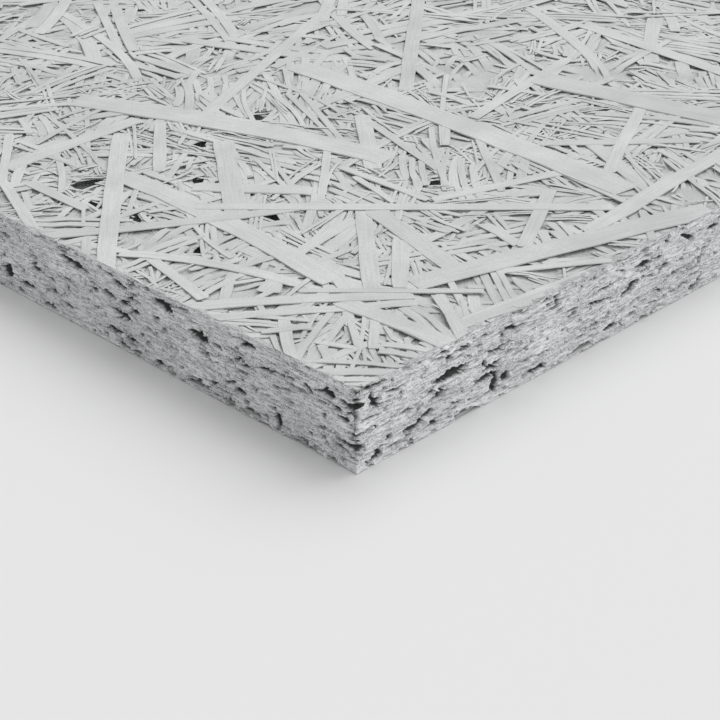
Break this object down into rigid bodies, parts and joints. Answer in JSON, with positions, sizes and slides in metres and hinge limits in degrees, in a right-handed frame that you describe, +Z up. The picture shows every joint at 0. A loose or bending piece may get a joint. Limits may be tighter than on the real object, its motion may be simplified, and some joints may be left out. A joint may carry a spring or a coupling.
{
  "type": "wood wool board",
  "caption": "Square flat board of long wood strands bound with grey cement, with strands in relief on both faces and sawn edges with flattened voids.",
  "frame": {"origin": "middle of the underside, at the level of its outermost strands", "axes": "+Z up through the thickness; the sawn edges run along X and Y"},
  "size_m": [0.6, 0.6, 0.025],
  "materials": {
    "cement_wood_wool": "matt pale grey cement over wood strands, rough and porous"
  },
  "bodies": {
    "root": {"board": "cement_wood_wool"}
  },
  "joints": []
}
